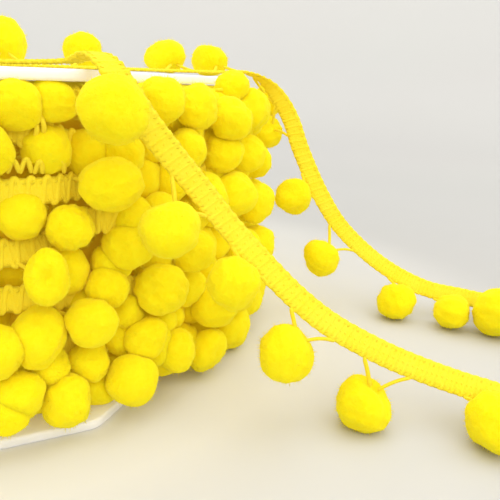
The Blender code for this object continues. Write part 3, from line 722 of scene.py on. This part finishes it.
class TRIM_OT_stage(bpy.types.Operator):
    """Add the camera, the floor and the soft studio light"""

    bl_idname = "trim.stage"
    bl_label = "Stage"

    def execute(self, context):
        settings = context.scene.trim_stage
        forward = np.array((
            np.sin(YAW) * np.cos(PITCH), np.cos(YAW) * np.cos(PITCH), -np.sin(PITCH)
        ))
        level = np.array((np.cos(YAW), -np.sin(YAW), 0.0))
        rise = np.cross(level, forward)
        right = np.cos(ROLL) * level + np.sin(ROLL) * rise
        up = -np.sin(ROLL) * level + np.cos(ROLL) * rise
        data = bpy.data.cameras.new("camera")
        data.lens, data.sensor_width = LENS, SENSOR
        data.clip_start, data.clip_end = 0.005, 20.0
        camera = bpy.data.objects.new("camera", data)
        camera.matrix_world = facing(right, up, -forward, EYE)
        context.scene.collection.objects.link(camera)
        context.scene.camera = camera

        # The floor is a round sheet that sweeps up into a wall: height = 0.55 (r - 0.5)^2 past
        # half a metre.
        r = np.concatenate([[1e-4], np.linspace(0.05, 0.5, 10), np.linspace(0.55, 2.4, 38)])
        z = np.where(r > 0.5, 0.55 * (r - 0.5) ** 2, 0.0)
        turn = np.linspace(0, 360, 97)[:-1]
        points = polar(turn[None, :], r[:, None], z[:, None]).reshape(-1, 3)
        floor = new_piece(
            "floor", points / MM, grid_faces(len(r), len(turn), wrap_columns=True)[:, ::-1],
            floor_look("pale_floor", tuple(settings.floor), FLOOR_PAINTED_LIGHT),
        )

        world = bpy.data.worlds.new("studio")
        world.use_nodes = True
        back = world.node_tree.nodes["Background"]
        back.inputs["Color"].default_value = (1.0, 0.99, 0.965, 1)
        back.inputs["Strength"].default_value = settings.sky
        context.scene.world = world
        for name, place, size, power in (
            ("top_light", (0.10, -0.15, 0.95), 0.9, settings.key * 0.35),
            ("front_light", (-0.10, -1.35, 0.55), 1.2, settings.key * 3.0),
            ("side_light", (0.75, -0.45, 0.55), 0.6, settings.key * 0.35),
        ):
            lamp = bpy.data.lights.new(name, "AREA")
            lamp.size, lamp.energy = size, power
            lamp.color = (1.0, 0.985, 0.955)
            shown = bpy.data.objects.new(name, lamp)
            aim = unit(np.array(place) - np.array((0.02, -0.04, 0.03)))
            sideways = unit(np.cross((0.0, 1.0, 0.0), aim))
            shown.matrix_world = facing(sideways, np.cross(aim, sideways), aim, place)
            context.scene.collection.objects.link(shown)
        context.scene.view_settings.view_transform = "Standard"
        return {"FINISHED"}


class TRIM_OT_loose_length(bpy.types.Operator):
    """Knit the loose length in its two tails, with pompoms and loops"""

    bl_idname = "trim.loose_length"
    bl_label = "Loose length"

    def execute(self, context):
        settings = context.scene.trim_braid
        pile, yarn = looks()
        rng = np.random.default_rng(context.scene.trim_pompoms.seed)
        last = len(ROUTE) - 1
        tails = (
            ("front", tail_track(TURN_STATION, 0), LOOSE_POMPOMS[:FRONT_TAIL_POMPOMS][::-1]),
            ("back", tail_track(TURN_STATION, last), LOOSE_POMPOMS[FRONT_TAIL_POMPOMS:]),
        )
        for name, track, drops in tails:
            braid = self.knit(settings, name, track, yarn)
            with_it = self.hang(rng, name, track, drops, pile, yarn)
        return {"FINISHED"}

    def knit(self, settings, name, track, yarn):
        half = settings.width / MM / 2
        pitch = settings.pitch / MM
        whole = (track, 0.0, track.length)
        parts = [
            ground(*whole, half - 0.34, 0.7, 10, 0.32),
            weft(*whole, half - 0.36, pitch, 18, 6, 0.44, 0.33),
        ]
        for row, hand in ((-1.5, 1), (0.0, -1), (1.5, 1)):
            parts.append(chain(
                *whole, row, hand, pitch / 2, 6, 3, settings.chain_yarn / MM / 2, 0.30
            ))
        piece = new_piece(f"loose_braid_{name}", *joined(parts), yarn)
        settle(piece, "loose_trim", "trim_loose")
        return piece

    def hang(self, rng, name, track, drops, pile, yarn):
        centres = drops[:, :3]
        count = 900
        place, _, side, _ = track.read(np.linspace(0, track.length, count))
        edge = place + side * LOOSE_FOOT
        near = np.argmin(np.linalg.norm(edge[None] - centres[:, None], axis=-1), axis=1)
        feet, ends, bows = [], [], []
        tied = unit(edge[near] - centres)
        for offset, bow in LOOP_FEET:
            k = np.clip(near + round(offset / track.length * count), 4, count - 5)
            foot = edge[k]
            root = unit(tied + LOOSE_LEAN * unit(foot - centres))
            end = centres + root * drops[:, 3:4] * LOOSE_ROOT
            feet.append(foot)
            ends.append(end)
            bows.append((foot + end) / 2 + tied * bow)
        flat = np.array((0.3, 0.4, 0.8))
        strings = new_piece(f"loose_loops_{name}", *loops(flat, feet, ends, bows), yarn)
        settle(strings, "loose_trim")
        depths = np.where(drops[:, 0] == NOTCHED_AT, 0.26, 0.10)
        shape = pile_shapes(rng, drops, edge[near] - centres, depths, drops)
        balls = new_piece(f"loose_pompoms_{name}", *pompoms(shape, 14), pile)
        fibres = new_piece(f"loose_fibres_{name}", *fuzz(rng, shape, 620), pile)
        for piece in (balls, fibres):
            settle(piece, "loose_trim")
        return [balls, strings, fibres]


class TRIM_OT_reel(bpy.types.Operator):
    """Mould the two flanges and finish the barrel"""

    bl_idname = "trim.reel"
    bl_label = "Reel"

    def execute(self, context):
        settings = context.scene.trim_reel
        white = plastic_look(
            "reel_white", tuple(settings.white), tuple(0.97 * c for c in settings.white), 0.34
        )
        thick = settings.flange_thickness / MM
        for node_name, foot in (
            ("reel_flange_bottom", 0.0), ("reel_flange_top", settings.height / MM - thick)
        ):
            piece = self.flange(settings, node_name + "_plate", foot, thick, white)
            settle(piece, "reel", node_name)
        core = plastic_look("barrel_white", (0.84, 0.82, 0.79), (0.80, 0.78, 0.75), 0.5)
        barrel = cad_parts["reel_barrel"]
        barrel.data.materials.clear()
        barrel.data.materials.append(core)
        return {"FINISHED"}

    def rim(self, settings, azimuth):
        """Reach of the plate at each azimuth: side / cos(a) and corner / cos(45 - a), a being the
        turn from the nearest long side, joined softly as (s^-p + c^-p)^(-1/p)."""
        turn = np.radians((azimuth - SIDE_AZIMUTH) % 90.0)
        to_side = np.minimum(turn, np.pi / 2 - turn)
        side = settings.side_reach / MM / np.cos(to_side)
        corner = settings.corner_reach / MM / np.cos(np.pi / 4 - to_side)
        return (side**-160.0 + corner**-160.0) ** (-1 / 160.0)

    def flange(self, settings, name, foot, thick, look):
        """A closed section carried round Z, its outer end following the plate's outline: flat
        faces, rim and hole edges rounded by quarter arcs."""
        inner, soft = settings.spindle_radius / MM, settings.rim_rounding / MM
        arc = np.radians(np.linspace(0, 90, 5))
        out, up = soft * np.cos(arc), soft * np.sin(arc)
        azimuth = np.linspace(0, 360, 361)[:-1]
        outer = self.rim(settings, azimuth)[None, :] - soft
        inner = np.full_like(outer, inner + soft)
        share = np.array((0.02, 0.3, 0.7))[:, None]
        radius = np.concatenate([
            outer + out[::-1, None], outer + out[:, None], outer + (inner - outer) * share,
            inner - out[::-1, None], inner - out[:, None], inner + (outer - inner) * share,
        ])
        top, low = foot + thick - soft, foot + soft
        height = np.concatenate([
            top + up[::-1], low - up, np.full(3, foot),
            low - up[::-1], top + up, np.full(3, foot + thick),
        ])[:, None]
        points = polar(azimuth[None, :], radius, height)
        faces = grid_faces(len(radius), len(azimuth), wrap_rows=True, wrap_columns=True)[:, ::-1]
        return new_piece(name, points.reshape(-1, 3), faces, look)


def hidden_rows(rng):
    """Rows of pompoms round the rest of the winding, each row shifted by half a step."""
    k, row = np.meshgrid(np.arange(HIDDEN_COUNT), np.arange(HIDDEN_ROWS), indexing="ij")
    k, row = k.ravel(), row.ravel()
    azimuth = (k + 0.5 * (row % 2)) * 360 / HIDDEN_COUNT
    azimuth = azimuth + rng.uniform(-AZIMUTH_STRAY, AZIMUTH_STRAY, len(k))
    height = WOUND_FOOT + (row + 0.5) * WOUND_HEIGHT / HIDDEN_ROWS
    height = height + rng.uniform(-HEIGHT_STRAY, HEIGHT_STRAY, len(k))
    azimuth = (azimuth + 180) % 360 - 180
    sizes, radii = rng.uniform(*HIDDEN_SIZES, len(k)), rng.uniform(*HIDDEN_RADII, len(k))
    rows = np.stack([azimuth, height, sizes, radii], axis=-1)
    return rows[(azimuth < FRONT_FROM) | (azimuth > FRONT_TO)]


def turn_track(rng):
    """The outermost layer of braid, one path that climbs turn by turn behind the reel."""
    step = 1.0
    azimuths = np.array(TURN_AZIMUTHS, float)
    knots, heights = [], []
    for k, row in enumerate(TURN_HEIGHTS):
        knots.append(azimuths + 360 * k)
        heights.append(row)
    knots, heights = np.concatenate(knots), np.concatenate(heights)
    azimuth = np.arange(knots[0] - 3, knots[-1] + 3, step)
    height = np.interp(azimuth, knots, heights)
    window = np.hanning(11)
    height = np.convolve(np.pad(height, 5, mode="edge"), window / window.sum(), mode="valid")
    def wobble(size, slow):
        grid = rng.normal(size=int(len(azimuth) / slow) + 3)
        t = np.arange(len(azimuth)) / slow + 1
        return size * smooth_rows(grid[:, None], t)[:, 0]
    radius = TURN_RADIUS + wobble(0.5, 14.0)
    for turn, middle, rise, half in PROUD_TURNS:
        radius += rise * np.exp(-(np.abs(azimuth - middle - 360 * turn) / half) ** 4)
    tilt = np.radians(wobble(6.0, 17.0))
    places = polar(azimuth, radius, height)
    outward = polar(azimuth, 1.0, 0.0)
    sides = np.cos(tilt)[:, None] * np.array((0, 0, -1.0)) + np.sin(tilt)[:, None] * outward
    return azimuth, Track(places, sides)


class TRIM_OT_winding(bpy.types.Operator):
    """Wind the trim: inner layers, outermost turns of braid, pompoms and loops"""

    bl_idname = "trim.winding"
    bl_label = "Wound trim"

    def execute(self, context):
        rng = np.random.default_rng(context.scene.trim_pompoms.seed + 1)
        pile, yarn = looks()
        core = self.core(context.scene.trim_reel, yarn)
        settle(core, "wound_trim", "trim_winding")
        # paint the amber crevice shade on the inner layers
        paint_crevice_shade(core, *CORE_SHADE_RADII)
        self.braid(rng, context.scene.trim_braid, yarn)
        self.balls(rng, pile, yarn)
        return {"FINISHED"}

    def core(self, settings, look):
        """The inner layers as one ring: CORE_RADIUS plus waves and the humps of the turns below,
        |cos| of the height, and a plain bore."""
        turn = np.linspace(0, 360, 241)[:-1]
        rows = np.linspace(CORE_FOOT, CORE_TOP, 45)
        sway = 0.6 * np.sin(np.radians(3 * turn))
        humps = np.abs(np.cos(np.pi * rows[:, None] / 5.4 + sway))
        waves = np.sin(np.radians(17 * turn) + 0.4 * rows[:, None])
        radius = CORE_RADIUS + 1.3 * humps + 0.7 * waves
        outside = polar(turn[None, :], radius, rows[:, None])
        bore = polar(turn[None, :], settings.bore / MM, rows[::-11, None])
        points = np.concatenate([outside, bore])
        faces = grid_faces(len(points), len(turn), wrap_rows=True, wrap_columns=True)
        return new_piece("wound_core", points.reshape(-1, 3), faces, look)

    def braid(self, rng, settings, look):
        azimuth, track = turn_track(rng)
        half = settings.width / MM / 2
        pitch = settings.rib_pitch / MM
        thin = settings.chain_yarn / MM / 2
        turned_to = (azimuth + 180) % 360 - 180
        seen = (turned_to > -100) & (turned_to < -2)
        edges = np.flatnonzero(np.diff(seen.astype(int))) + 1
        front, back = [], []
        for span in np.split(np.arange(len(azimuth)), edges):
            start, end = track.at[span[0]], track.at[min(span[-1] + 1, len(azimuth) - 1)]
            if end - start < 2 * pitch:
                continue
            whole = (track, start, end)
            parts = front if seen[span[0]] else back
            step, sides, fine, rows, turns = FINE_KNIT if parts is front else COARSE_KNIT
            parts.append(ground(*whole, half - 0.4, step, sides, 0.22))
            parts.append(weft(*whole, half - 0.45, pitch, *fine, 0.50, 0.36, square=0.8))
            for row, hand in rows:
                parts.append(chain(*whole, row, hand, pitch / 2, turns, 3, thin, 0.24))
        for name, parts in (("wound_braid_front", front), ("wound_braid_back", back)):
            settle(new_piece(name, *joined(parts), look), "wound_trim")

    def balls(self, rng, pile, yarn):
        """Pompoms in four lots: the ones in front, the rest of the outer layer, and those of the
        layer below wherever the outer ones leave room, in front and behind."""
        rows = hidden_rows(rng)
        front, hidden = self.placed(FRONT), self.placed(rows)
        front[:, 3:] *= np.where(FRONT[:, 3:4] > PROUD, 1.0, CLOSE_GROWTH)
        below = self.below(rng, np.concatenate([front, hidden]))
        crowd = np.concatenate([front, hidden, below])
        seen = below[:, 1] < 0.6 * below[:, 0] + 20.0    # on the camera's side of a line in plan
        for name, balls, n, per in (
            ("front", front, 13, 400), ("back", hidden, 6, 0),
            ("below", below[seen], 7, 0), ("below_back", below[~seen], 4, 0),
        ):
            pulls = rng.normal(size=(len(balls), 3)) - 0.3 * unit(balls[:, :3] * (1, 1, 0))
            depths = rng.uniform(0.03, 0.24, len(balls))
            if name == "front":
                pulls[END_ON] = EYE / MM - balls[END_ON, :3]
                depths[END_ON] = 0.42
                balls[END_ON, 3:] = END_ON_SIZE
            shape = pile_shapes(rng, balls, pulls, depths, crowd)
            piece = new_piece(f"wound_pompoms_{name}", *pompoms(shape, n), pile)
            settle(piece, "wound_trim")
            # paint the amber crevice shade on the pompoms
            paint_crevice_shade(piece, *POMPOM_SHADE_RADII)
            if per:
                fibres = new_piece(f"wound_fibres_{name}", *fuzz(rng, shape, per), pile)
                settle(fibres, "wound_trim")
        self.loops(rng, np.concatenate([FRONT, rows]), yarn)

    def placed(self, rows):
        """Rows of azimuth, height, diameter and distance as x, y, z, width and height."""
        return np.column_stack([polar(rows[:, 0], rows[:, 3], rows[:, 1]), rows[:, 2], rows[:, 2]])

    def below(self, rng, outer):
        """Points of a shifted grid that keep off every outer pompom, set back where the braid
        shows."""
        count = int(2 * np.pi * 65 / BELOW_STEP)
        k, row = np.meshgrid(np.arange(count), np.arange(BELOW_ROWS), indexing="ij")
        k, row = k.ravel(), row.ravel()
        azimuth = (k + 0.5 * (row % 2)) * 360 / count + rng.uniform(-2.0, 2.0, len(k))
        height = np.clip(6.5 + row * BELOW_RISE + rng.uniform(-1.4, 1.4, len(k)), 6.8, 55.3)
        centres = polar(azimuth, rng.uniform(64.6, 66.8, len(k)), height)
        gap = np.linalg.norm(centres[:, None] - outer[None, :, :3], axis=-1).min(axis=1)
        keep = gap > BELOW_APART
        turned_to = (azimuth + 180) % 360 - 180
        for first, last, low, high in OPEN_STRETCHES:
            inside = (turned_to > first) & (turned_to < last) & (height > low) & (height < high)
            centres[inside, :2] = SET_BACK * unit(centres[inside, :2])
        size = rng.uniform(8.6, 9.8, (len(k), 1))
        return np.concatenate([centres, size, size], axis=1)[keep]

    def loops(self, rng, every, yarn):
        """Two yarns from each pompom back to the edge of the nearest turn of braid."""
        centres = polar(every[:, 0], every[:, 3], every[:, 1])
        turn = TURN_HEIGHTS.mean(axis=1)
        edge = np.concatenate([turn - 2.3, turn + 2.3])
        nearest = edge[np.argmin(np.abs(edge[None] - every[:, 1:2]), axis=1)]
        feet, ends, bows = [], [], []
        for side in WOUND_FEET:
            turned = every[:, 0] + side + rng.uniform(-0.6, 0.6, len(every))
            foot = polar(turned, FOOT_RADIUS, nearest)
            end = centres + unit(foot - centres) * every[:, 2:3] * WOUND_ROOT
            feet.append(foot)
            ends.append(end)
            bows.append((foot + end) / 2 + polar(every[:, 0], WOUND_BOW, 0.0))
        for k, (group, radius) in enumerate(zip((feet, ends, bows), STANDING_RADII)):
            group.append(polar(STANDING_LOOPS[:, 2 * k], radius, STANDING_LOOPS[:, 2 * k + 1]))
        flat = np.array((0.0, 0.0, 1.0))
        settle(new_piece("wound_loops", *loops(flat, feet, ends, bows), yarn), "wound_trim")


class TRIM_PT_panel(bpy.types.Panel):
    """Settings and steps of the trim reel"""

    bl_idname = "TRIM_PT_panel"
    bl_label = "Pompom trim reel"
    bl_space_type = "VIEW_3D"
    bl_region_type = "UI"
    bl_category = "Trim"

    def draw(self, context):
        for group in GROUPS:
            box = self.layout.box()
            owner = getattr(context.scene, group)
            for key in GROUPS[group].__annotations__:
                box.prop(owner, key)
        for step in STEPS:
            self.layout.operator(step.bl_idname)


GROUPS = {
    "trim_reel": TrimReelSettings, "trim_braid": TrimBraidSettings,
    "trim_pompoms": TrimPompomSettings, "trim_stage": TrimStageSettings,
}
STEPS = (TRIM_OT_stage, TRIM_OT_loose_length, TRIM_OT_reel, TRIM_OT_winding)


def register():
    for made in (*GROUPS.values(), *STEPS, TRIM_PT_panel):
        bpy.utils.register_class(made)
    for key, kind in GROUPS.items():
        setattr(bpy.types.Scene, key, bpy.props.PointerProperty(type=kind))


def unregister():
    for key in GROUPS:
        delattr(bpy.types.Scene, key)
    for made in (TRIM_PT_panel, *reversed(STEPS), *reversed(GROUPS.values())):
        bpy.utils.unregister_class(made)


def main():
    register()
    bpy.ops.trim.stage()
    bpy.ops.trim.loose_length()
    bpy.ops.trim.reel()
    bpy.ops.trim.winding()
    bpy.context.view_layer.update()


if __name__ == "__main__":
    main()
